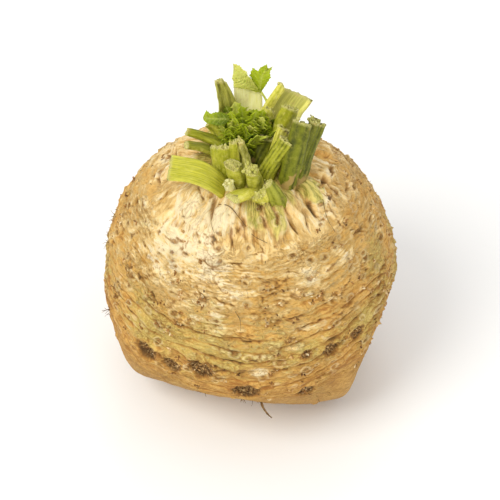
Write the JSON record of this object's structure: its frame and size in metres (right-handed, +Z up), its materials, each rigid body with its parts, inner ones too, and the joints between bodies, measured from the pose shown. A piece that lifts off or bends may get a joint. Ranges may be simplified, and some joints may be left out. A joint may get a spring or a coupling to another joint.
{
  "type": "celeriac root",
  "caption": "Round celeriac root with ringed tan skin, root scars, cut leaf stalks and young leaves on its crown, resting on a small flat spot.",
  "frame": {"origin": "middle of the flat spot that the root rests on, under the middle of the bulb", "axes": "+Z up from the resting spot through the crown, -Y towards the front, +X to the right"},
  "size_m": [0.1213, 0.1238, 0.1396],
  "materials": {
    "bulb_skin": "fresh root skin, matt and rough, tan and cream with ochre rings and brown scars",
    "stalk_bright": "cut petiole, yellow-green, satin",
    "stalk_green": "cut petiole, mid green, satin",
    "stalk_dark": "cut petiole, dark green ribs, satin",
    "stalk_pale": "cut petiole base, cream, satin",
    "stalk_withered": "withered petiole, olive brown, matt",
    "leaf_green": "young leaf, green, satin"
  },
  "bodies": {
    "root": {"root_bulb": "bulb_skin", "stalk_back_sheath": "stalk_bright", "stalk_back_narrow": "stalk_bright", "stalk_back_pale": "stalk_pale", "stalk_back_withered": "stalk_withered", "stalk_left_upper": "stalk_green", "stalk_left_lower": "stalk_dark", "stalk_left_stub": "stalk_green", "stalk_left_arched": "stalk_bright", "stalk_left_flat": "stalk_green", "stalk_right_tall": "stalk_dark", "stalk_right_cut": "stalk_dark", "stalk_right_dark": "stalk_dark", "stalk_right_ribbed": "stalk_bright", "stub_behind_ribbed": "stalk_bright", "stalk_mid_ribbed": "stalk_dark", "stalk_right_upper": "stalk_green", "stub_back_small": "stalk_bright", "stalk_mid_left": "stalk_green", "stalk_mid_narrow": "stalk_withered", "stub_cut_left": "stalk_bright", "stub_cut_middle": "stalk_bright", "stub_front_wedge": "stalk_bright", "stub_front_low": "stalk_bright", "stub_right_low": "stalk_green", "stub_left_low": "stalk_pale", "stub_back_right": "stalk_green", "stub_back_left": "stalk_green", "leaf_top": "leaf_green", "leaf_left": "leaf_green", "leaf_heart": "leaf_green"}
  },
  "joints": []
}
